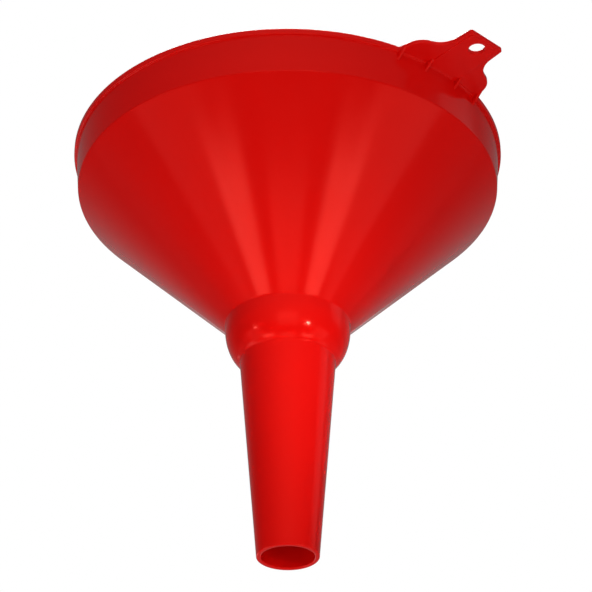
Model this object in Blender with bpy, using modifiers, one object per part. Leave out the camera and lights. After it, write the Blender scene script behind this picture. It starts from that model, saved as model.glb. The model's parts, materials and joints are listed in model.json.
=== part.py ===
"""Fuel funnel with a hang tab and a lift-out strainer.

The funnel stands spout down. Z is its axis and points up, the origin is the centre of the
spout's open end, and the hang tab points along +X. Lengths are in metres.
"""
import math

import bmesh
import bpy
from mathutils import Matrix

MM = 0.001

# Funnel body, outer surface
RIM_RADIUS = 80.0 * MM            # outer edge of the lip, the funnel's nominal size
HEIGHT = 162.5 * MM               # spout end to rim top
LIP_HEIGHT = 2.4 * MM
BAND_TOP_RADIUS = 79.0 * MM       # just under the lip
BAND_FOOT_RADIUS = 77.9 * MM
BAND_FOOT_Z = 145.9 * MM
NECK_RADIUS = 22.5 * MM           # upright side of the neck
NECK_TOP_Z = 90.65 * MM           # where the cone meets it
NECK_FOOT_Z = 88.9 * MM           # where its rounded underside begins
SHOULDER_INSET = 8.5 * MM         # how far that underside would run in to the axis
SPOUT_TOP_RADIUS = 17.1 * MM
SPOUT_TOP_Z = 75.5 * MM
SPOUT_END_RADIUS = 10.75 * MM     # enters a standard filler neck

# Walls and small radii
BOWL_WALL = 1.8 * MM
SPOUT_WALL = 1.7 * MM
EDGE_ROUND = 0.4 * MM
CREASE_ROUND = 1.2 * MM           # band to cone and cone to neck, outside and inside
SPOUT_ROUND = 0.8 * MM            # neck to spout

# Ledge inside the neck that the strainer stands on
NECK_BORE = 20.0 * MM
LEDGE_Z = 78.6 * MM
LEDGE_RADIUS = 17.9 * MM
LEDGE_CHAMFER_RADIUS = 19.1 * MM
LEDGE_CHAMFER_Z = 80.4 * MM
BORE_FOOT_Z = 83.0 * MM

# Hang tab: half outline as distance from the axis, half width and corner radius
TAB_ROOT = (76.5 * MM, 20.4 * MM)
TAB_LOBE = (86.0 * MM, 17.8 * MM, 7.2 * MM)
TAB_WAIST = (89.35 * MM, 8.6 * MM, 8.2 * MM)
TAB_CORNER = (101.0 * MM, 7.9 * MM, 1.0 * MM)
TAB_INNER_RADIUS = 78.4 * MM      # inner end, buried in the rim
TAB_THICKNESS = 1.6 * MM
TAB_DROP = 0.4 * MM               # below the rim top where it leaves the lip
TAB_RISE = math.radians(2.9)      # the tab lifts slightly towards its end
HOLE_RADIUS = 2.9 * MM
HOLE_CENTRE = 96.0 * MM
STRAP_EXTRA = 0.3 * MM            # the middle strip is this much thicker underneath
STRAP_END = 100.2 * MM
STRAP_HALF_WIDTH = 7.1 * MM
GUSSET_THICKNESS = 1.0 * MM
GUSSET_FOOT = 5.2 * MM            # how far below the rim top each gusset reaches
GUSSET_TOE = 0.3 * MM             # its blunt lower end
GUSSETS = ((19.2 * MM, 76.0 * MM, 81.0 * MM), (7.4 * MM, 78.1 * MM, 83.0 * MM))

# Strainer, standing on the ledge
GAP = 0.35 * MM
STRAINER_RADIUS = 19.6 * MM
STRAINER_TOP_Z = 88.0 * MM
STRAINER_FLARE_Z = 83.4 * MM
FOOT_OUTER_RADIUS = 17.6 * MM
FOOT_INNER_RADIUS = 15.9 * MM
FOOT_RIM = 0.6 * MM               # upright part of the foot, below the flare
FOOT_HEIGHT = 1.95 * MM           # top of the step and spokes that carry the gauze
POCKET_RADIUS = 17.2 * MM
SPOKE_WIDTH = 1.8 * MM
SPOKE_HEIGHT = 1.6 * MM
SPOKE_ROOT = 0.8 * MM             # spoke ends buried in the foot
HUB_RADIUS = 3.0 * MM
HUB_EXTRA = 0.2 * MM              # the hub hangs this much below the spokes
HUB_STEPS = 24
GRIP_ROOT = 1.0 * MM              # grip legs buried in the frame
GRIP_STEPS = 16
GRIP_RISE = 15.0 * MM
GRIP_THICKNESS = 2.0 * MM
GRIP_WIDTH = 4.0 * MM
GAUZE_RADIUS = 16.9 * MM
GAUZE_THICKNESS = 0.5 * MM
RING_BORE = 15.2 * MM
RING_HEIGHT = 2.0 * MM
RING_CHAMFER = 0.3 * MM

EDGE_STEPS = 1
CREASE_STEPS = 3
SHOULDER_STEPS = 7
CORNER_STEPS = 5
HOLE_STEPS = 32
INNER_END_STEPS = 4
BODY_STEPS = 64
STRAINER_STEPS = 48
SMOOTH_ANGLE = math.radians(32)
WELD_DISTANCE = 0.001 * MM
SCREW_WELD_DISTANCE = 0.01 * MM

# Material colours, linear RGB
RED = (0.62, 0.006, 0.004)
BLACK = (0.012, 0.012, 0.013)
BRASS = (0.72, 0.52, 0.22)


# ---------------------------------------------------------------- scene helpers

def clear_scene():
    for old in list(bpy.data.objects):
        bpy.data.objects.remove(old, do_unlink=True)


def new_collection(name):
    group = bpy.data.collections.new(name)
    bpy.context.scene.collection.children.link(group)
    return group


def plastic(name, colour, roughness):
    material = bpy.data.materials.new(name)
    material.use_nodes = True
    shader = material.node_tree.nodes["Principled BSDF"]
    shader.inputs["Base Color"].default_value = (*colour, 1.0)
    shader.inputs["Roughness"].default_value = roughness
    shader.inputs["Metallic"].default_value = 0.0
    material.diffuse_color = (*colour, 1.0)
    return material


def metal(name, colour, roughness):
    material = plastic(name, colour, roughness)
    material.node_tree.nodes["Principled BSDF"].inputs["Metallic"].default_value = 1.0
    return material


def add_object(name, data, group):
    thing = bpy.data.objects.new(name, data)
    group.objects.link(thing)
    return thing


def applied(thing):
    """Replace an object's data by its evaluated mesh, welded and with no modifiers left."""
    depsgraph = bpy.context.evaluated_depsgraph_get()
    mesh = bpy.data.meshes.new_from_object(thing.evaluated_get(depsgraph))
    name = thing.name
    group = thing.users_collection[0]
    place = thing.matrix_world.copy()
    bpy.data.objects.remove(thing, do_unlink=True)
    work = bmesh.new()
    work.from_mesh(mesh)
    bmesh.ops.remove_doubles(work, verts=work.verts, dist=WELD_DISTANCE)
    work.to_mesh(mesh)
    work.free()
    solid = add_object(name, mesh, group)
    solid.matrix_world = place
    return solid


def shade(solid):
    solid.data.shade_smooth()
    solid.data.set_sharp_from_angle(angle=SMOOTH_ANGLE)


def as_tool(thing):
    thing.hide_render = True
    thing.display_type = "WIRE"
    return thing


def join(solid, tools):
    """Union the tools into the solid, applying one before the next."""
    for tool in tools:
        union = solid.modifiers.new("join " + tool.name, "BOOLEAN")
        union.operation = "UNION"
        union.solver = "EXACT"
        union.object = tool
        bpy.context.view_layer.update()
        solid = applied(solid)
    return solid


# ---------------------------------------------------------------- outline helpers

def line_meet(start, end, other_start, other_end):
    """Crossing point of two lines, each given by two points."""
    ax, ay = end[0] - start[0], end[1] - start[1]
    bx, by = other_end[0] - other_start[0], other_end[1] - other_start[1]
    across = ax * by - ay * bx
    along = ((other_start[0] - start[0]) * by - (other_start[1] - start[1]) * bx) / across
    return (start[0] + along * ax, start[1] + along * ay)


def rounded(before, corner, after, radius, steps):
    """Points of the arc that rounds a corner."""
    to_before = math.atan2(before[1] - corner[1], before[0] - corner[0])
    to_after = math.atan2(after[1] - corner[1], after[0] - corner[0])
    turn = (to_after - to_before + math.pi) % math.tau - math.pi
    reach = radius / math.sin(abs(turn) / 2)
    middle = to_before + turn / 2
    centre = (corner[0] + reach * math.cos(middle), corner[1] + reach * math.sin(middle))
    quarter = math.copysign(math.pi / 2, turn)
    first = to_before - quarter
    sweep = turn - 2 * quarter
    return [
        (
            centre[0] + radius * math.cos(first + sweep * step / steps),
            centre[1] + radius * math.sin(first + sweep * step / steps),
        )
        for step in range(steps + 1)
    ]


def turned(name, profile, steps, group):
    """A closed outline in the XZ plane, turned round Z."""
    mesh = bpy.data.meshes.new(name)
    count = len(profile)
    edges = [(index, (index + 1) % count) for index in range(count)]
    mesh.from_pydata([(radius, 0.0, z) for radius, z in profile], edges, [])
    thing = add_object(name, mesh, group)
    screw = thing.modifiers.new("turn", "SCREW")
    screw.axis = "Z"
    screw.steps = steps
    screw.render_steps = steps
    screw.use_merge_vertices = True
    screw.merge_threshold = SCREW_WELD_DISTANCE
    bpy.context.view_layer.update()
    return applied(thing)


def flat_plate(name, outlines, thickness, group):
    """Closed outlines filled and thickened evenly about the XY plane; a second one is a hole."""
    curve = bpy.data.curves.new(name, "CURVE")
    curve.dimensions = "2D"
    curve.fill_mode = "BOTH"
    curve.extrude = thickness / 2
    for outline in outlines:
        spline = curve.splines.new("POLY")
        spline.points.add(len(outline) - 1)
        for point, (x, y) in zip(spline.points, outline):
            point.co = (x, y, 0.0, 1.0)
        spline.use_cyclic_u = True
    thing = add_object(name, curve, group)
    bpy.context.view_layer.update()
    return thing


def circle(centre_x, radius, steps):
    return [
        (
            centre_x + radius * math.cos(math.tau * step / steps),
            radius * math.sin(math.tau * step / steps),
        )
        for step in range(steps)
    ]


# ---------------------------------------------------------------- funnel body

def spout_radius(z):
    """Outer radius of the tapered spout at a height."""
    return SPOUT_END_RADIUS + (SPOUT_TOP_RADIUS - SPOUT_END_RADIUS) * z / SPOUT_TOP_Z


def band_radius(z):
    """Outer radius of the band under the lip at a height."""
    share = (z - BAND_FOOT_Z) / (HEIGHT - LIP_HEIGHT - BAND_FOOT_Z)
    return BAND_FOOT_RADIUS + (BAND_TOP_RADIUS - BAND_FOOT_RADIUS) * share


def neck_shoulder(steps):
    """The neck's rounded underside, from its upright side down to the spout."""
    centre = NECK_RADIUS - SHOULDER_INSET
    last = math.acos((SPOUT_TOP_RADIUS - centre) / SHOULDER_INSET)
    depth = (NECK_FOOT_Z - SPOUT_TOP_Z) / math.sin(last)
    return [
        (
            centre + SHOULDER_INSET * math.cos(last * step / steps),
            NECK_FOOT_Z - depth * math.sin(last * step / steps),
        )
        for step in range(steps)
    ]


def body_profile():
    """Outline of the wall: down the outside, round the spout's end and up the inside."""
    lip_top = (RIM_RADIUS, HEIGHT)
    lip_foot = (RIM_RADIUS, HEIGHT - LIP_HEIGHT)
    band_top = (BAND_TOP_RADIUS, HEIGHT - LIP_HEIGHT)
    band_foot = (BAND_FOOT_RADIUS, BAND_FOOT_Z)
    neck_top = (NECK_RADIUS, NECK_TOP_Z)
    shoulder = neck_shoulder(SHOULDER_STEPS)
    spout_top = (SPOUT_TOP_RADIUS, SPOUT_TOP_Z)
    spout_end = (SPOUT_END_RADIUS, 0.0)
    spout_bore = (SPOUT_END_RADIUS - SPOUT_WALL, 0.0)
    rim_bore = (band_radius(HEIGHT) - BOWL_WALL, HEIGHT)

    outside = rounded(rim_bore, lip_top, lip_foot, EDGE_ROUND, EDGE_STEPS)
    outside += rounded(lip_top, lip_foot, band_top, EDGE_ROUND, EDGE_STEPS)
    outside.append(band_top)
    outside += rounded(band_top, band_foot, neck_top, CREASE_ROUND, CREASE_STEPS)
    outside += rounded(band_foot, neck_top, shoulder[0], CREASE_ROUND, CREASE_STEPS)
    outside += shoulder
    outside += rounded(shoulder[-1], spout_top, spout_end, SPOUT_ROUND, CREASE_STEPS)
    outside += rounded(spout_top, spout_end, spout_bore, EDGE_ROUND, EDGE_STEPS)

    slope = math.atan2(BAND_FOOT_Z - NECK_TOP_Z, BAND_FOOT_RADIUS - NECK_RADIUS)
    step_in = BOWL_WALL / math.sin(slope)
    cone_low = (NECK_RADIUS - step_in, NECK_TOP_Z)
    cone_high = (BAND_FOOT_RADIUS - step_in, BAND_FOOT_Z)
    band_low = (BAND_FOOT_RADIUS - BOWL_WALL, BAND_FOOT_Z)
    cone_to_band = line_meet(cone_low, cone_high, band_low, rim_bore)
    neck_bore_foot = (NECK_BORE, BORE_FOOT_Z)
    neck_mouth = line_meet(cone_low, cone_high, neck_bore_foot, (NECK_BORE, NECK_TOP_Z))
    ledge_edge = (spout_radius(LEDGE_Z) - SPOUT_WALL, LEDGE_Z)

    inside = rounded(spout_end, spout_bore, ledge_edge, EDGE_ROUND, EDGE_STEPS)
    inside.append(ledge_edge)
    inside.append((LEDGE_RADIUS, LEDGE_Z))
    inside.append((LEDGE_CHAMFER_RADIUS, LEDGE_CHAMFER_Z))
    inside.append(neck_bore_foot)
    inside += rounded(neck_bore_foot, neck_mouth, cone_high, CREASE_ROUND, EDGE_STEPS)
    inside += rounded(neck_mouth, cone_to_band, rim_bore, CREASE_ROUND, EDGE_STEPS)
    inside += rounded(cone_to_band, rim_bore, lip_top, EDGE_ROUND, EDGE_STEPS)
    return outside + inside


def tab_outline():
    """Plan of the hang tab: two round lobes, a waist and a square-ended strap."""
    side = [TAB_ROOT]
    corners = [TAB_ROOT, TAB_LOBE, TAB_WAIST, TAB_CORNER, (TAB_CORNER[0], -TAB_CORNER[1])]
    for before, corner, after in zip(corners, corners[1:], corners[2:]):
        side += rounded(before[:2], corner[:2], after[:2], corner[2], CORNER_STEPS)
    far_side = [(x, -y) for x, y in reversed(side)]
    half_angle = math.atan2(TAB_ROOT[1], TAB_ROOT[0])
    shares = [step / INNER_END_STEPS for step in range(1 - INNER_END_STEPS, INNER_END_STEPS)]
    inner_end = [
        (
            TAB_INNER_RADIUS * math.cos(half_angle * share),
            TAB_INNER_RADIUS * math.sin(half_angle * share),
        )
        for share in shares
    ]
    return side + far_side + inner_end


def raise_tab(plate, middle_z):
    """Lift a flat plate to the rim and tilt it up about the rim's edge."""
    solid = applied(plate)
    hinge = Matrix.Translation((RIM_RADIUS, 0.0, HEIGHT - TAB_DROP))
    tilt = hinge @ Matrix.Rotation(-TAB_RISE, 4, "Y") @ hinge.inverted()
    solid.matrix_world = tilt @ Matrix.Translation((0.0, 0.0, middle_z))
    return as_tool(solid)


def make_tab(group):
    outline = tab_outline()
    hole = circle(HOLE_CENTRE, HOLE_RADIUS, HOLE_STEPS)
    middle_z = HEIGHT - TAB_DROP - TAB_THICKNESS / 2
    plate = flat_plate("tab plate", [outline, hole], TAB_THICKNESS, group)
    strap_outline = [
        (BAND_TOP_RADIUS, STRAP_HALF_WIDTH),
        (STRAP_END, STRAP_HALF_WIDTH),
        (STRAP_END, -STRAP_HALF_WIDTH),
        (BAND_TOP_RADIUS, -STRAP_HALF_WIDTH),
    ]
    strap_depth = TAB_THICKNESS / 2 + STRAP_EXTRA
    strap = flat_plate("tab strap", [strap_outline, hole], strap_depth, group)
    return [raise_tab(plate, middle_z), raise_tab(strap, middle_z - strap_depth / 2)]


def make_gusset(index, across, inner, outer, group):
    """A small triangular rib between the wall and the underside of the tab."""
    top = HEIGHT - TAB_DROP - TAB_THICKNESS / 2
    foot = HEIGHT - GUSSET_FOOT
    corners = [(inner, top), (inner, foot), (inner + GUSSET_TOE, foot), (outer, top)]
    rib = applied(flat_plate("gusset %d" % index, [corners], GUSSET_THICKNESS, group))
    rib.matrix_world = Matrix.Translation((0.0, across, 0.0)) @ Matrix.Rotation(math.pi / 2, 4, "X")
    return as_tool(rib)


def make_body(parts, tools):
    shell = turned("funnel_body", body_profile(), BODY_STEPS, parts)
    additions = make_tab(tools)
    for across, inner, outer in GUSSETS:
        for side in (-1, 1):
            additions.append(make_gusset(len(additions) - 1, side * across, inner, outer, tools))
    body = join(shell, additions)
    body.data.materials.append(plastic("red polyethylene", RED, 0.28))
    shade(body)
    return body


# ---------------------------------------------------------------- strainer

def strainer_profile():
    foot = LEDGE_Z + GAP
    step = foot + FOOT_HEIGHT
    top_outer = (STRAINER_RADIUS, STRAINER_TOP_Z)
    top_inner = (POCKET_RADIUS, STRAINER_TOP_Z)
    flare = (STRAINER_RADIUS, STRAINER_FLARE_Z)
    outline = rounded(top_inner, top_outer, flare, EDGE_ROUND, EDGE_STEPS)
    outline.append(flare)
    outline.append((FOOT_OUTER_RADIUS, foot + FOOT_RIM))
    outline.append((FOOT_OUTER_RADIUS, foot))
    outline.append((FOOT_INNER_RADIUS, foot))
    outline.append((FOOT_INNER_RADIUS, step))
    outline.append((POCKET_RADIUS, step))
    outline += rounded((POCKET_RADIUS, step), top_inner, top_outer, EDGE_ROUND, EDGE_STEPS)
    return outline


def make_bar(name, length, width, middle_z, group):
    """A level bar through the axis."""
    mesh = bpy.data.meshes.new(name)
    work = bmesh.new()
    size = Matrix.Diagonal((length, width, SPOKE_HEIGHT, 1.0))
    bmesh.ops.create_cube(work, size=1.0, matrix=size)
    work.to_mesh(mesh)
    work.free()
    bar = add_object(name, mesh, group)
    bar.location = (0.0, 0.0, middle_z)
    return as_tool(bar)


def make_disc(name, radius, height, middle_z, steps, group):
    """A level round disc on the axis."""
    mesh = bpy.data.meshes.new(name)
    work = bmesh.new()
    bmesh.ops.create_cone(
        work, cap_ends=True, segments=steps, radius1=radius, radius2=radius, depth=height
    )
    work.to_mesh(mesh)
    work.free()
    disc = add_object(name, mesh, group)
    disc.location = (0.0, 0.0, middle_z)
    return disc


def make_cross(group):
    """Two crossing spokes and a hub that carry the gauze."""
    middle = LEDGE_Z + GAP + FOOT_HEIGHT - SPOKE_HEIGHT / 2
    length = 2 * (FOOT_INNER_RADIUS + SPOKE_ROOT)
    hub_height = SPOKE_HEIGHT + HUB_EXTRA
    hub = make_disc("hub", HUB_RADIUS, hub_height, middle - HUB_EXTRA / 2, HUB_STEPS, group)
    return [
        make_bar("spoke x", length, SPOKE_WIDTH, middle, group),
        make_bar("spoke y", SPOKE_WIDTH, length, middle, group),
        as_tool(hub),
    ]


def arch(half_width, rise):
    return [
        (
            half_width * math.cos(math.pi * step / GRIP_STEPS),
            rise * math.sin(math.pi * step / GRIP_STEPS),
        )
        for step in range(GRIP_STEPS + 1)
    ]


def make_grip(group):
    """An arched strip over the strainer to lift it by."""
    outer_half = STRAINER_RADIUS - EDGE_ROUND
    inner_half = outer_half - GRIP_THICKNESS
    outline = [(outer_half, -GRIP_ROOT)]
    outline += arch(outer_half, GRIP_RISE)
    outline += [(-outer_half, -GRIP_ROOT), (-inner_half, -GRIP_ROOT)]
    outline += reversed(arch(inner_half, GRIP_RISE - GRIP_THICKNESS))
    outline.append((inner_half, -GRIP_ROOT))
    grip = applied(flat_plate("grip", [outline], GRIP_WIDTH, group))
    upright = Matrix.Rotation(math.pi / 2, 4, "X")
    grip.matrix_world = Matrix.Translation((0.0, 0.0, STRAINER_TOP_Z)) @ upright
    return as_tool(grip)


def make_strainer(parts, tools):
    """Frame, gauze and clamp ring on an empty that stands where the strainer rests."""
    frame = turned("strainer_frame", strainer_profile(), STRAINER_STEPS, parts)
    frame = join(frame, make_cross(tools) + [make_grip(tools)])
    frame.data.materials.append(plastic("black polyethylene", BLACK, 0.4))
    shade(frame)

    gauze_low = LEDGE_Z + GAP + FOOT_HEIGHT + GAP
    gauze_middle = gauze_low + GAUZE_THICKNESS / 2
    gauze = make_disc(
        "strainer_gauze", GAUZE_RADIUS, GAUZE_THICKNESS, gauze_middle, STRAINER_STEPS, parts
    )
    gauze.data.materials.append(metal("brass wire", BRASS, 0.35))
    shade(gauze)

    low = gauze_low + GAUZE_THICKNESS + GAP
    high = low + RING_HEIGHT
    outline = [
        (GAUZE_RADIUS - RING_CHAMFER, high),
        (GAUZE_RADIUS, high - RING_CHAMFER),
        (GAUZE_RADIUS, low),
        (RING_BORE, low),
        (RING_BORE, high - RING_CHAMFER),
        (RING_BORE + RING_CHAMFER, high),
    ]
    ring = turned("strainer_clamp_ring", outline, STRAINER_STEPS, parts)
    ring.data.materials.append(plastic("black polyethylene ring", BLACK, 0.35))
    shade(ring)

    lift = add_object("strainer_lift", None, parts)
    lift.location = (0.0, 0.0, LEDGE_Z)
    bpy.context.view_layer.update()
    for piece in (frame, gauze, ring):
        piece.parent = lift
        piece.matrix_parent_inverse = lift.matrix_world.inverted()


def main():
    clear_scene()
    parts = new_collection("fuel_funnel")
    tools = new_collection("tools")
    make_body(parts, tools)
    make_strainer(parts, tools)


main()
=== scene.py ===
"""Red polyethylene fuel funnel with a lift-out strainer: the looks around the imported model."""
import json
import math

import bmesh
import bpy
from mathutils import Matrix, Vector


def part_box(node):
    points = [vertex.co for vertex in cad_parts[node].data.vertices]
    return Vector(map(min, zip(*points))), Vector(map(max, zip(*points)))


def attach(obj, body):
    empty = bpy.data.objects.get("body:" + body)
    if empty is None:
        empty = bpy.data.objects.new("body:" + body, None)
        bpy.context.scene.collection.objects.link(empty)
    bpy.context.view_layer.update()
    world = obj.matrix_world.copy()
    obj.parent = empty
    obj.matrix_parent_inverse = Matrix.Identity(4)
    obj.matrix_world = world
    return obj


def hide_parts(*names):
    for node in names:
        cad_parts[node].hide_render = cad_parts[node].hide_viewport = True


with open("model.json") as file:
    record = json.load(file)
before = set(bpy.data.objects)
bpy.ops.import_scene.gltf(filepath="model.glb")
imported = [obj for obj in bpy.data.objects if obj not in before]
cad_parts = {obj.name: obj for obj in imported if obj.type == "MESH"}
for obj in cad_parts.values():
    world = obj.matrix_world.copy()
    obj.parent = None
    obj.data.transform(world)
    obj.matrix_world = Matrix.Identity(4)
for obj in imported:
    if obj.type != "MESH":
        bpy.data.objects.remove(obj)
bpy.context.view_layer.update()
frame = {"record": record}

MM = 0.001

# Driving dimensions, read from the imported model
_, BODY_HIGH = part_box("funnel_body")
FRAME_LOW, FRAME_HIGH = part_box("strainer_frame")
GAUZE_LOW, GAUZE_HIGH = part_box("strainer_gauze")
RING_LOW, RING_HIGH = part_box("strainer_clamp_ring")
MOUNT_PLACES = {mount["name"]: Vector(mount["pos_m"]) for mount in frame["record"]["mounts"]}
RIM_RADIUS = BODY_HIGH.y
RIM_Z = MOUNT_PLACES["rim_face"].z

# Wall outline
LIP_HEIGHT = 2.4 * MM
BAND_TOP_RADIUS = RIM_RADIUS - 1.0 * MM
BAND_FOOT = (77.9 * MM, 145.9 * MM)
NECK_TOP = (22.5 * MM, 90.65 * MM)
NECK_FOOT_Z = 88.9 * MM
SHOULDER_INSET = 8.5 * MM
SPOUT_TOP = (17.1 * MM, 75.5 * MM)
SPOUT_END_RADIUS = 10.75 * MM
BOWL_WALL = 1.8 * MM
SPOUT_WALL = 1.7 * MM
NECK_BORE_FOOT = (20.0 * MM, 83.0 * MM)
LEDGE_CHAMFER = (19.1 * MM, 80.4 * MM)
LEDGE = (17.9 * MM, 78.6 * MM)
EDGE_ROUND = 0.5 * MM
CREASE_ROUND = 1.2 * MM
SPOUT_ROUND = 0.8 * MM
FINE_ROUND = 0.3 * MM
FOOT_ROUND = FINE_ROUND / 2
NO_ROUND = 0.0

# Hang tab, in plan: distance from the axis, half width and corner radius
TAB_ROOT = (76.5 * MM, 20.4 * MM, NO_ROUND)
TAB_LOBE = (86.0 * MM, 17.8 * MM, 7.2 * MM)
TAB_WAIST = (89.35 * MM, 8.6 * MM, 8.2 * MM)
TAB_CORNER = (101.0 * MM, 7.9 * MM, 1.0 * MM)
TAB_INNER_RADIUS = 78.4 * MM
TAB_THICKNESS = 1.6 * MM
TAB_DROP = 0.4 * MM
TAB_RISE = math.radians(2.9)
HOLE_CENTRE = 96.0 * MM
HOLE_RADIUS = 2.9 * MM
STRAP_EXTRA = 0.3 * MM
STRAP_END = 100.2 * MM
STRAP_HALF_WIDTH = 7.1 * MM
STRAP_ROUND = 1.0 * MM
PLATE_EDGE = 0.25 * MM
GUSSET_THICKNESS = 1.0 * MM
GUSSET_FOOT = 5.2 * MM
GUSSET_TOE = 0.3 * MM
GUSSET_EDGE = 0.2 * MM
GUSSETS = ((19.2 * MM, 76.0 * MM, 81.0 * MM), (7.4 * MM, 78.1 * MM, 83.0 * MM))

# Strainer
FOOT_OUTER_RADIUS = 17.6 * MM
FOOT_INNER_RADIUS = 15.9 * MM
FOOT_RIM = 0.6 * MM
FOOT_HEIGHT = 1.95 * MM
FLARE_Z = 83.4 * MM
STRAINER_TOP_Z = 88.0 * MM
POCKET_RADIUS = 17.2 * MM
SPOKE_WIDTH = 1.8 * MM
SPOKE_HEIGHT = 1.6 * MM
HUB_RADIUS = 3.0 * MM
HUB_HEIGHT = 1.8 * MM
GRIP_THICKNESS = 2.0 * MM
GRIP_WIDTH = 4.0 * MM
GRIP_EDGE = 0.5 * MM
GRIP_INSET = 0.4 * MM
GRIP_ROOT = 1.0 * MM
RING_BORE = 15.2 * MM
WIRE_RADIUS = 0.125 * MM
WIRE_PITCH = 0.85 * MM
CLOTH_INSET = 0.2 * MM

# Fineness
BODY_STEPS = 256
STRAINER_STEPS = 144
HUB_STEPS = STRAINER_STEPS // 3
HOLE_STEPS = 48
GRIP_STEPS = 40
TAB_END_STEPS = 8
WIRE_STEPS_PER_PITCH = 3
PLATE_EDGE_STEPS = 3
ARC_STEP = math.radians(9)
SHOULDER_STEP = math.radians(5)
LINE_STEP = 6.0 * MM
SMOOTH_ANGLE = math.radians(35)
WELD = 0.001 * MM

# Camera, as an azimuth round Z from -Y towards +X, and the studio
CAMERA_AZIMUTH = math.radians(46.4)
CAMERA_ELEVATION = math.radians(-31.325)
CAMERA_DISTANCE = 761.03 * MM
CAMERA_AIM_Z = 103.12 * MM
CAMERA_SLIDE = 2.99 * MM
CAMERA_ROLL = math.radians(-0.178)
CAMERA_LENS = 127.79
CAMERA_SENSOR = 36.0
CAMERA_NEAR = 0.01
CAMERA_FAR = 50.0
LIGHT_DISTANCE = 0.9
FLOOR_Z = -900 * MM
FLOOR_RADIUS = 4.0
FLOOR_STEPS = 96
WHITE = (1.0, 1.0, 1.0, 1.0)
NOISE_LOW = 0.3
NOISE_HIGH = 0.7


# ---------------------------------------------------------------- mesh helpers

def add_mesh(name, work):
    """Turn a bmesh into a new object in the scene."""
    bmesh.ops.remove_doubles(work, verts=work.verts, dist=WELD)
    bmesh.ops.recalc_face_normals(work, faces=work.faces)
    mesh = bpy.data.meshes.new(name)
    work.to_mesh(mesh)
    work.free()
    thing = bpy.data.objects.new(name, mesh)
    bpy.context.scene.collection.objects.link(thing)
    return thing


def applied(thing):
    """Replace an object by its evaluated mesh, with its placement in the points."""
    bpy.context.view_layer.update()
    depsgraph = bpy.context.evaluated_depsgraph_get()
    mesh = bpy.data.meshes.new_from_object(thing.evaluated_get(depsgraph))
    mesh.transform(thing.matrix_world)
    work = bmesh.new()
    work.from_mesh(mesh)
    name = thing.name
    bpy.data.objects.remove(thing, do_unlink=True)
    bpy.data.meshes.remove(mesh)
    return add_mesh(name, work)


def unite(solid, tools):
    """Join closed meshes to a solid, one after another."""
    for tool in tools:
        union = solid.modifiers.new("unite", "BOOLEAN")
        union.operation = "UNION"
        union.solver = "EXACT"
        union.object = tool
        solid = applied(solid)
        bpy.data.objects.remove(tool, do_unlink=True)
    return solid


def finish_mesh(thing):
    """Smooth shading with area-weighted normals, so that flats stay flat beside fillets."""
    thing.data.shade_smooth()
    thing.data.set_sharp_from_angle(angle=SMOOTH_ANGLE)
    weighted = thing.modifiers.new("weighted normals", "WEIGHTED_NORMAL")
    weighted.mode = "FACE_AREA"
    weighted.keep_sharp = True


def line_meet(start, end, other_start, other_end):
    """Crossing point of two lines, each given by two points."""
    ax, ay = end[0] - start[0], end[1] - start[1]
    bx, by = other_end[0] - other_start[0], other_end[1] - other_start[1]
    gap_x, gap_y = other_start[0] - start[0], other_start[1] - start[1]
    along = (gap_x * by - gap_y * bx) / (ax * by - ay * bx)
    return (start[0] + along * ax, start[1] + along * ay)


def arc_points(before, corner, after, radius):
    """The arc that rounds a corner, or the corner itself."""
    if radius == NO_ROUND:
        return [corner]
    to_before = math.atan2(before[1] - corner[1], before[0] - corner[0])
    to_after = math.atan2(after[1] - corner[1], after[0] - corner[0])
    turn = (to_after - to_before + math.pi) % math.tau - math.pi
    reach = radius / math.sin(abs(turn) / 2)
    middle = to_before + turn / 2
    centre = (corner[0] + reach * math.cos(middle), corner[1] + reach * math.sin(middle))
    quarter = math.copysign(math.pi / 2, turn)
    sweep = turn - 2 * quarter
    steps = max(2, math.ceil(abs(sweep) / ARC_STEP))
    angles = [to_before - quarter + sweep * step / steps for step in range(steps + 1)]
    return [(centre[0] + radius * math.cos(a), centre[1] + radius * math.sin(a)) for a in angles]


def rounded_outline(corners):
    """A closed outline with every corner (x, y, radius) rounded and long lines divided."""
    points = []
    count = len(corners)
    for index, (x, y, radius) in enumerate(corners):
        before = corners[index - 1][:2]
        after = corners[(index + 1) % count][:2]
        points += arc_points(before, (x, y), after, radius)
    divided = []
    for start, end in zip(points, points[1:] + points[:1]):
        pieces = max(1, math.ceil(math.dist(start, end) / LINE_STEP))
        for piece in range(pieces):
            share = piece / pieces
            x = start[0] + share * (end[0] - start[0])
            y = start[1] + share * (end[1] - start[1])
            divided.append((x, y))
    return divided


def turned(name, outline, steps):
    """A closed outline in the XZ plane, turned round Z."""
    work = bmesh.new()
    points = [work.verts.new((radius, 0.0, z)) for radius, z in outline]
    edges = [work.edges.new(pair) for pair in zip(points, points[1:] + points[:1])]
    bmesh.ops.spin(
        work, geom=points + edges, cent=(0, 0, 0), axis=(0, 0, 1),
        angle=math.tau, steps=steps, use_merge=True,
    )
    return add_mesh(name, work)


def plate(name, outlines, thickness, edge):
    """Closed outlines filled, thickened about the XY plane and rounded along their edges."""
    curve = bpy.data.curves.new(name, "CURVE")
    curve.dimensions = "2D"
    curve.fill_mode = "BOTH"
    curve.extrude = thickness / 2 - edge
    curve.bevel_depth = edge
    curve.bevel_resolution = PLATE_EDGE_STEPS
    curve.offset = -edge
    for outline in outlines:
        spline = curve.splines.new("POLY")
        spline.points.add(len(outline) - 1)
        for point, (x, y) in zip(spline.points, outline):
            point.co = (x, y, 0.0, 1.0)
        spline.use_cyclic_u = True
    thing = bpy.data.objects.new(name, curve)
    bpy.context.scene.collection.objects.link(thing)
    return thing


# ---------------------------------------------------------------- funnel body

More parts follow.
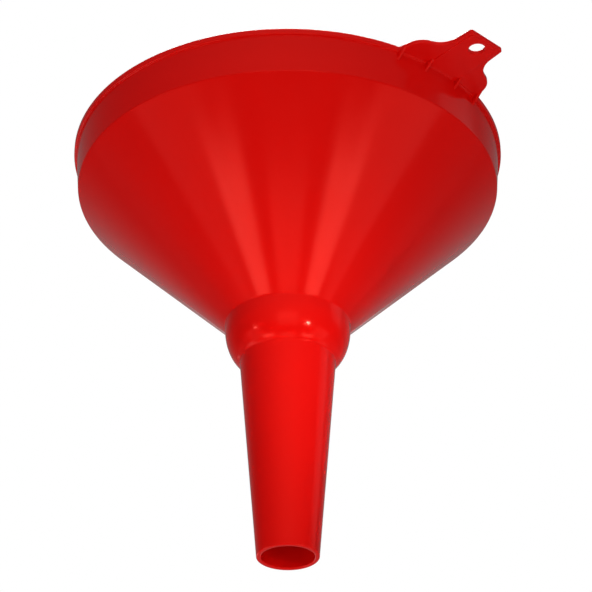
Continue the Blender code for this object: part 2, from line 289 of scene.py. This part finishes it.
def neck_shoulder():
    """The neck's rounded underside, a quarter of an ellipse cut off at the spout."""
    centre = NECK_TOP[0] - SHOULDER_INSET
    last = math.acos((SPOUT_TOP[0] - centre) / SHOULDER_INSET)
    depth = (NECK_FOOT_Z - SPOUT_TOP[1]) / math.sin(last)
    steps = math.ceil(last / SHOULDER_STEP)
    angles = [last * step / steps for step in range(steps)]
    return [
        (centre + SHOULDER_INSET * math.cos(a), NECK_FOOT_Z - depth * math.sin(a))
        for a in angles
    ]


def wall_corners():
    """Corners of the wall with their radii: down the outside and up the inside."""
    slope = math.atan2(BAND_FOOT[1] - NECK_TOP[1], BAND_FOOT[0] - NECK_TOP[0])
    step_in = BOWL_WALL / math.sin(slope)
    cone_low = (NECK_TOP[0] - step_in, NECK_TOP[1])
    cone_high = (BAND_FOOT[0] - step_in, BAND_FOOT[1])
    lip_foot_z = RIM_Z - LIP_HEIGHT
    flare = (BAND_TOP_RADIUS - BAND_FOOT[0]) / (lip_foot_z - BAND_FOOT[1])
    rim_bore = (BAND_TOP_RADIUS + flare * LIP_HEIGHT - BOWL_WALL, RIM_Z)
    band_low = (BAND_FOOT[0] - BOWL_WALL, BAND_FOOT[1])
    cone_to_band = line_meet(cone_low, cone_high, band_low, rim_bore)
    neck_mouth = line_meet(cone_low, cone_high, NECK_BORE_FOOT, (NECK_BORE_FOOT[0], NECK_TOP[1]))
    taper = (SPOUT_TOP[0] - SPOUT_END_RADIUS) / SPOUT_TOP[1]
    ledge_edge = (SPOUT_END_RADIUS + taper * LEDGE[1] - SPOUT_WALL, LEDGE[1])

    corners = [
        (RIM_RADIUS, RIM_Z, EDGE_ROUND),
        (RIM_RADIUS, lip_foot_z, EDGE_ROUND),
        (BAND_TOP_RADIUS, lip_foot_z, FINE_ROUND),
        (*BAND_FOOT, CREASE_ROUND),
        (*NECK_TOP, CREASE_ROUND),
    ]
    corners += [(radius, z, NO_ROUND) for radius, z in neck_shoulder()]
    corners += [
        (*SPOUT_TOP, SPOUT_ROUND),
        (SPOUT_END_RADIUS, 0.0, EDGE_ROUND),
        (SPOUT_END_RADIUS - SPOUT_WALL, 0.0, EDGE_ROUND),
        (*ledge_edge, FINE_ROUND),
        (*LEDGE, FINE_ROUND),
        (*LEDGE_CHAMFER, NO_ROUND),
        (*NECK_BORE_FOOT, NO_ROUND),
        (*neck_mouth, CREASE_ROUND),
        (*cone_to_band, CREASE_ROUND),
        (*rim_bore, EDGE_ROUND),
    ]
    return corners


def tab_outline():
    """Half the tab's plan and its mirror image, closed by an arc buried in the rim."""
    corners = [TAB_ROOT, TAB_LOBE, TAB_WAIST, TAB_CORNER]
    mirrored = [(x, -y, radius) for x, y, radius in reversed(corners)]
    half_angle = math.atan2(TAB_ROOT[1], TAB_ROOT[0])
    angles = [half_angle * (step / TAB_END_STEPS * 2 - 1) for step in range(1, TAB_END_STEPS)]
    inner_end = [
        (TAB_INNER_RADIUS * math.cos(a), TAB_INNER_RADIUS * math.sin(a), NO_ROUND)
        for a in angles
    ]
    return rounded_outline(corners + mirrored + inner_end)


def hole_outline():
    """The hang hole, run the other way round from the outline it is cut from."""
    angles = [-math.tau * step / HOLE_STEPS for step in range(HOLE_STEPS)]
    return [
        (HOLE_CENTRE + HOLE_RADIUS * math.cos(a), HOLE_RADIUS * math.sin(a))
        for a in angles
    ]


def raised(thing, middle_z):
    """Lift a flat plate to the rim and tilt it up about the rim's edge."""
    hinge = Matrix.Translation((RIM_RADIUS, 0.0, RIM_Z - TAB_DROP))
    tilt = hinge @ Matrix.Rotation(-TAB_RISE, 4, "Y") @ hinge.inverted()
    thing.matrix_world = tilt @ Matrix.Translation((0.0, 0.0, middle_z))
    return applied(thing)


def make_tab():
    """The flat tab and the thicker strap under its middle."""
    middle_z = RIM_Z - TAB_DROP - TAB_THICKNESS / 2
    tab = plate("tab", [tab_outline(), hole_outline()], TAB_THICKNESS, PLATE_EDGE)
    strap_corners = [
        (BAND_TOP_RADIUS, -STRAP_HALF_WIDTH, NO_ROUND),
        (STRAP_END, -STRAP_HALF_WIDTH, STRAP_ROUND),
        (STRAP_END, STRAP_HALF_WIDTH, STRAP_ROUND),
        (BAND_TOP_RADIUS, STRAP_HALF_WIDTH, NO_ROUND),
    ]
    depth = TAB_THICKNESS / 2 + STRAP_EXTRA
    strap = plate("strap", [rounded_outline(strap_corners), hole_outline()], depth, PLATE_EDGE)
    return [raised(tab, middle_z), raised(strap, middle_z - depth / 2)]


def make_gussets():
    """Thin ribs between the tab's underside and the band, in pairs either side of the middle."""
    top = RIM_Z - TAB_DROP - TAB_THICKNESS / 2
    foot = RIM_Z - GUSSET_FOOT
    ribs = []
    for across, inner, outer in GUSSETS:
        for side in (-1, 1):
            outline = [(inner, top), (inner, foot), (inner + GUSSET_TOE, foot), (outer, top)]
            rib = plate("gusset", [outline], GUSSET_THICKNESS, GUSSET_EDGE)
            turn = Matrix.Rotation(math.pi / 2, 4, "X")
            rib.matrix_world = Matrix.Translation((0.0, side * across, 0.0)) @ turn
            ribs.append(applied(rib))
    return ribs


def make_body():
    body = turned("funnel_moulding", rounded_outline(wall_corners()), BODY_STEPS)
    body = unite(body, make_tab() + make_gussets())
    finish_mesh(body)
    return body


# ---------------------------------------------------------------- strainer

def make_frame():
    """The strainer's cup with its spokes, hub and grip."""
    foot = FRAME_LOW.z
    step = foot + FOOT_HEIGHT
    radius = FRAME_HIGH.x
    corners = [
        (radius, STRAINER_TOP_Z, EDGE_ROUND),
        (radius, FLARE_Z, EDGE_ROUND),
        (FOOT_OUTER_RADIUS, foot + FOOT_RIM, NO_ROUND),
        (FOOT_OUTER_RADIUS, foot, FOOT_ROUND),
        (FOOT_INNER_RADIUS, foot, FOOT_ROUND),
        (FOOT_INNER_RADIUS, step, FOOT_ROUND),
        (POCKET_RADIUS, step, NO_ROUND),
        (POCKET_RADIUS, STRAINER_TOP_Z, EDGE_ROUND),
    ]
    cup = turned("strainer_cup", rounded_outline(corners), STRAINER_STEPS)
    cup = unite(cup, make_spokes(step) + [make_grip(radius)])
    finish_mesh(cup)
    return cup


def make_spokes(step):
    """Two crossed bars and the hub where they meet, flush with the step under the gauze."""
    reach = FOOT_INNER_RADIUS + (POCKET_RADIUS - FOOT_INNER_RADIUS) / 2
    half = SPOKE_WIDTH / 2
    middle_z = step - SPOKE_HEIGHT / 2
    bar = [(-reach, -half), (reach, -half), (reach, half), (-reach, half)]
    spokes = []
    for quarter in (0, 1):
        spoke = plate("spoke", [bar], SPOKE_HEIGHT, FINE_ROUND)
        turn = Matrix.Rotation(quarter * math.pi / 2, 4, "Z")
        spoke.matrix_world = Matrix.Translation((0.0, 0.0, middle_z)) @ turn
        spokes.append(applied(spoke))
    hub_corners = [
        (WELD, step, NO_ROUND),
        (HUB_RADIUS, step, FINE_ROUND),
        (HUB_RADIUS, step - HUB_HEIGHT, FINE_ROUND),
        (WELD, step - HUB_HEIGHT, NO_ROUND),
    ]
    hub = turned("hub", rounded_outline(hub_corners), HUB_STEPS)
    return spokes + [hub]


def arch(half_width, rise):
    """Half an ellipse that spans the cup."""
    angles = [math.pi * step / GRIP_STEPS for step in range(GRIP_STEPS + 1)]
    return [(half_width * math.cos(a), rise * math.sin(a)) for a in angles]


def make_grip(radius):
    """An arched strip over the cup, with soft edges."""
    rise = FRAME_HIGH.z - STRAINER_TOP_Z
    outer_half = radius - GRIP_INSET
    inner_half = outer_half - GRIP_THICKNESS
    inner_arch = arch(inner_half, rise - GRIP_THICKNESS)
    outline = [
        (outer_half, -GRIP_ROOT),
        *arch(outer_half, rise),
        (-outer_half, -GRIP_ROOT),
        (-inner_half, -GRIP_ROOT),
        *reversed(inner_arch),
        (inner_half, -GRIP_ROOT),
    ]
    grip = plate("grip", [outline], GRIP_WIDTH, GRIP_EDGE)
    turn = Matrix.Rotation(math.pi / 2, 4, "X")
    grip.matrix_world = Matrix.Translation((0.0, 0.0, STRAINER_TOP_Z)) @ turn
    return applied(grip)


def make_ring():
    """The ring that holds the gauze down in the cup."""
    corners = [
        (RING_HIGH.x, RING_HIGH.z, FINE_ROUND),
        (RING_HIGH.x, RING_LOW.z, FINE_ROUND),
        (RING_BORE, RING_LOW.z, FINE_ROUND),
        (RING_BORE, RING_HIGH.z, EDGE_ROUND),
    ]
    ring = turned("clamp_ring", rounded_outline(corners), STRAINER_STEPS)
    finish_mesh(ring)
    return ring


def make_gauze():
    """Plain woven cloth: each wire passes over one crossing wire and under the next."""
    middle_z = (GAUZE_LOW.z + GAUZE_HIGH.z) / 2
    cloth_radius = GAUZE_HIGH.x - CLOTH_INSET
    count = int(cloth_radius / WIRE_PITCH)
    curve = bpy.data.curves.new("woven_gauze", "CURVE")
    curve.dimensions = "3D"
    curve.bevel_depth = WIRE_RADIUS
    curve.bevel_resolution = 1
    curve.use_fill_caps = True
    for along_x in (True, False):
        for row in range(-count, count + 1):
            offset = row * WIRE_PITCH
            reach = math.sqrt(cloth_radius ** 2 - offset ** 2)
            steps = max(2, round(2 * reach / WIRE_PITCH * WIRE_STEPS_PER_PITCH))
            spline = curve.splines.new("POLY")
            spline.points.add(steps)
            for index, point in enumerate(spline.points):
                along = -reach + 2 * reach * index / steps
                over = math.cos(math.pi * (along / WIRE_PITCH + row))
                lift = WIRE_RADIUS * (over if along_x else -over)
                x, y = (along, offset) if along_x else (offset, along)
                point.co = (x, y, middle_z + lift, 1.0)
    cloth = bpy.data.objects.new("woven_gauze", curve)
    bpy.context.scene.collection.objects.link(cloth)
    cloth = applied(cloth)
    cloth.data.shade_smooth()
    return cloth


# ---------------------------------------------------------------- materials

def new_material(name, colour, roughness):
    material = bpy.data.materials.new(name)
    material.use_nodes = True
    shader = material.node_tree.nodes["Principled BSDF"]
    shader.inputs["Base Color"].default_value = (*colour, 1.0)
    shader.inputs["Roughness"].default_value = roughness
    return material, material.node_tree, shader


def noise(tree, scale, detail):
    """Noise fixed to the object, as features per metre."""
    place = tree.nodes.new("ShaderNodeTexCoord")
    texture = tree.nodes.new("ShaderNodeTexNoise")
    texture.inputs["Scale"].default_value = scale
    texture.inputs["Detail"].default_value = detail
    tree.links.new(place.outputs["Object"], texture.inputs["Vector"])
    return texture.outputs["Fac"]


def spread(tree, source, low, high):
    """Map noise onto a range of values."""
    span = tree.nodes.new("ShaderNodeMapRange")
    span.inputs["From Min"].default_value = NOISE_LOW
    span.inputs["From Max"].default_value = NOISE_HIGH
    span.inputs["To Min"].default_value = low
    span.inputs["To Max"].default_value = high
    tree.links.new(source, span.inputs["Value"])
    return span.outputs["Result"]


def vary_colour(tree, shader, source, dark, light):
    """Drift the base colour between two shades."""
    mix = tree.nodes.new("ShaderNodeMix")
    mix.data_type = "RGBA"
    mix.inputs["A"].default_value = (*dark, 1.0)
    mix.inputs["B"].default_value = (*light, 1.0)
    tree.links.new(source, mix.inputs["Factor"])
    tree.links.new(mix.outputs["Result"], shader.inputs["Base Color"])


def add_bump(tree, shader, layers):
    """Stack bump layers, each (height source, depth in metres)."""
    normal = None
    for source, depth in layers:
        bump = tree.nodes.new("ShaderNodeBump")
        bump.inputs["Strength"].default_value = 1.0
        bump.inputs["Distance"].default_value = depth
        tree.links.new(source, bump.inputs["Height"])
        if normal:
            tree.links.new(normal, bump.inputs["Normal"])
        normal = bump.outputs["Normal"]
    tree.links.new(normal, shader.inputs["Normal"])


def red_polyethylene():
    """Glossy moulded polyethylene: a faint long wave, a fine grain and uneven gloss."""
    material, tree, shader = new_material("red_polyethylene", (0.71, 0.003, 0.002), 0.15)
    shader.inputs["IOR"].default_value = 1.5
    shader.inputs["Specular Tint"].default_value = (1.0, 0.12, 0.085, 1.0)
    tree.links.new(spread(tree, noise(tree, 90, 3), 0.13, 0.17), shader.inputs["Roughness"])
    vary_colour(tree, shader, noise(tree, 35, 2), (0.69, 0.0026, 0.0018), (0.73, 0.0032, 0.0022))
    add_bump(tree, shader, [(noise(tree, 45, 2), 0.06 * MM), (noise(tree, 900, 2), 0.003 * MM)])
    return material


def black_polyethylene(name, roughness):
    """Satin moulded polyethylene with a fine grain."""
    material, tree, shader = new_material(name, (0.012, 0.012, 0.013), roughness)
    uneven = spread(tree, noise(tree, 400, 3), roughness - 0.06, roughness + 0.08)
    tree.links.new(uneven, shader.inputs["Roughness"])
    vary_colour(tree, shader, noise(tree, 150, 2), (0.010, 0.010, 0.011), (0.016, 0.016, 0.017))
    add_bump(tree, shader, [(noise(tree, 2500, 3), 0.01 * MM)])
    return material


def brass_wire():
    """Dull brass, a little uneven from wire to wire."""
    material, tree, shader = new_material("brass_wire", (0.72, 0.5, 0.2), 0.3)
    shader.inputs["Metallic"].default_value = 1.0
    tree.links.new(spread(tree, noise(tree, 300, 3), 0.22, 0.42), shader.inputs["Roughness"])
    vary_colour(tree, shader, noise(tree, 120, 2), (0.62, 0.40, 0.15), (0.78, 0.57, 0.26))
    return material


def floor_material():
    material, tree, shader = new_material("pale_floor", (0.8, 0.8, 0.8), 0.8)
    tree.links.new(spread(tree, noise(tree, 4, 2), 0.7, 0.9), shader.inputs["Roughness"])
    return material


# ---------------------------------------------------------------- studio

def direction(azimuth, elevation):
    """Unit vector for an azimuth from the camera's side, rising to its right, and an elevation."""
    turn = CAMERA_AZIMUTH + math.radians(azimuth)
    rise = math.radians(elevation)
    level = math.cos(rise)
    return Vector((math.sin(turn) * level, -math.cos(turn) * level, math.sin(rise)))


def add_camera():
    """The camera below the funnel, looking up at it."""
    data = bpy.data.cameras.new("camera")
    data.lens = CAMERA_LENS
    data.sensor_width = CAMERA_SENSOR
    data.clip_start = CAMERA_NEAR
    data.clip_end = CAMERA_FAR
    camera = bpy.data.objects.new("camera", data)
    back = direction(0.0, math.degrees(CAMERA_ELEVATION))
    right = Vector((math.cos(CAMERA_AZIMUTH), math.sin(CAMERA_AZIMUTH), 0.0))
    aim = Vector((0.0, 0.0, CAMERA_AIM_Z))
    camera.location = aim + back * CAMERA_DISTANCE + right * CAMERA_SLIDE
    roll = Matrix.Rotation(CAMERA_ROLL, 3, "Z")
    camera.rotation_euler = (back.to_track_quat("Z", "Y").to_matrix() @ roll).to_euler()
    bpy.context.scene.collection.objects.link(camera)
    bpy.context.scene.camera = camera


def add_light(name, azimuth, elevation, size, power, roll=0.0):
    """A soft rectangular light that faces the middle of the funnel."""
    data = bpy.data.lights.new(name, "AREA")
    data.shape = "RECTANGLE"
    data.size, data.size_y = size
    data.energy = power
    light = bpy.data.objects.new(name, data)
    away = direction(azimuth, elevation)
    light.location = Vector((0.0, 0.0, CAMERA_AIM_Z)) + away * LIGHT_DISTANCE
    turn = Matrix.Rotation(math.radians(roll), 3, "Z")
    light.rotation_euler = (away.to_track_quat("Z", "Y").to_matrix() @ turn).to_euler()
    light.visible_camera = False
    bpy.context.scene.collection.objects.link(light)
    return light


def narrow(light, beam, aim_z):
    """Aim a light at another height on the axis and narrow its beam."""
    light.location.z += aim_z - CAMERA_AIM_Z
    light.data.spread = math.radians(beam)


def glow(tree, azimuth, elevation, spread_angle, strength):
    """A soft round patch of the surround: brightest in one direction and fading away from it."""
    place = tree.nodes.new("ShaderNodeTexCoord")
    unit = tree.nodes.new("ShaderNodeVectorMath")
    unit.operation = "NORMALIZE"
    tree.links.new(place.outputs["Generated"], unit.inputs[0])
    facing = tree.nodes.new("ShaderNodeVectorMath")
    facing.operation = "DOT_PRODUCT"
    facing.inputs[1].default_value = direction(azimuth, elevation)
    tree.links.new(unit.outputs["Vector"], facing.inputs[0])
    offset = tree.nodes.new("ShaderNodeMath")
    offset.operation = "SUBTRACT"
    offset.inputs[1].default_value = 1.0
    tree.links.new(facing.outputs["Value"], offset.inputs[0])
    fall = tree.nodes.new("ShaderNodeMath")
    fall.operation = "MULTIPLY"
    fall.inputs[1].default_value = 1.0 / math.radians(spread_angle) ** 2
    tree.links.new(offset.outputs["Value"], fall.inputs[0])
    lobe = tree.nodes.new("ShaderNodeMath")
    lobe.operation = "EXPONENT"
    tree.links.new(fall.outputs["Value"], lobe.inputs[0])
    scaled = tree.nodes.new("ShaderNodeMath")
    scaled.operation = "MULTIPLY"
    scaled.inputs[1].default_value = strength
    tree.links.new(lobe.outputs["Value"], scaled.inputs[0])
    return scaled.outputs["Value"]


def add_world():
    """White to the camera; for everything else a soft glow in front and a weaker one behind."""
    world = bpy.data.worlds.new("studio")
    bpy.context.scene.world = world
    world.use_nodes = True
    tree = world.node_tree
    surround = tree.nodes["Background"]
    surround.inputs["Color"].default_value = WHITE
    total = tree.nodes.new("ShaderNodeMath")
    tree.links.new(glow(tree, 0, 10, 35, 0.95), total.inputs[0])
    tree.links.new(glow(tree, 180, 0, 35, 0.3), total.inputs[1])
    tree.links.new(total.outputs["Value"], surround.inputs["Strength"])
    white = tree.nodes.new("ShaderNodeBackground")
    white.inputs["Color"].default_value = WHITE
    path = tree.nodes.new("ShaderNodeLightPath")
    mix = tree.nodes.new("ShaderNodeMixShader")
    tree.links.new(path.outputs["Is Camera Ray"], mix.inputs["Fac"])
    tree.links.new(surround.outputs["Background"], mix.inputs[1])
    tree.links.new(white.outputs["Background"], mix.inputs[2])
    tree.links.new(mix.outputs["Shader"], tree.nodes["World Output"].inputs["Surface"])


def add_lights():
    """Each light by its azimuth and elevation in degrees, size in metres and power in watts."""
    add_light("key_right", 52, -51.5, (0.27, 0.21), 0.9, roll=20)
    add_light("key_left", -52, -51.5, (0.27, 0.21), 0.9, roll=-20)
    add_light("front_low", 0, -62, (0.35, 0.3), 0.5)
    add_light("front_middle", 0, -12, (0.6, 0.5), 1.1)
    add_light("plateau_right", 70, -30, (0.45, 0.5), 0.7)
    add_light("plateau_left", -70, -30, (0.45, 0.5), 0.46)
    add_light("side_right", 97, 22, (0.4, 0.35), 0.12)
    add_light("low_left", -110, -50, (0.4, 0.4), 1.05)
    add_light("low_right", 110, -50, (0.4, 0.4), 0.5)
    add_light("back_left", -150, -25, (0.4, 0.4), 0.4)
    add_light("back", 180, 0, (0.5, 0.7), 0.4)
    narrow(add_light("spot_right", 38, -14, (0.08, 0.045), 0.016), 10, 66 * MM)
    narrow(add_light("spot_left", -64, -13, (0.14, 0.1), 0.0028), 5, 86 * MM)
    narrow(add_light("top", 0, 80, (0.5, 0.5), 0.35), 25, RIM_Z)
    narrow(add_light("top_back", 180, 50, (0.5, 0.5), 0.35), 25, RIM_Z)


def add_floor():
    """A large, plain, pale disc well below the spout."""
    work = bmesh.new()
    bmesh.ops.create_circle(work, cap_ends=True, segments=FLOOR_STEPS, radius=FLOOR_RADIUS)
    floor = add_mesh("studio_floor", work)
    floor.location.z = FLOOR_Z
    floor.data.materials.append(floor_material())


# ---------------------------------------------------------------- assembly

def place(piece, body, node, slot, material):
    """Give a piece its material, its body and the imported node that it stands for."""
    piece.data.materials.clear()
    piece.data.materials.append(material)
    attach(piece, body)
    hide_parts(node)


bpy.context.scene.view_settings.view_transform = "Standard"
add_camera()
add_world()
add_floor()
add_lights()

place(make_body(), "funnel", "funnel_body", "red_polyethylene", red_polyethylene())
place(make_frame(), "strainer", "strainer_frame", "black_polyethylene",
      black_polyethylene("black_polyethylene", 0.4))
place(make_ring(), "strainer", "strainer_clamp_ring", "black_polyethylene",
      black_polyethylene("black_polyethylene_ring", 0.34))
place(make_gauze(), "strainer", "strainer_gauze", "brass_wire", brass_wire())
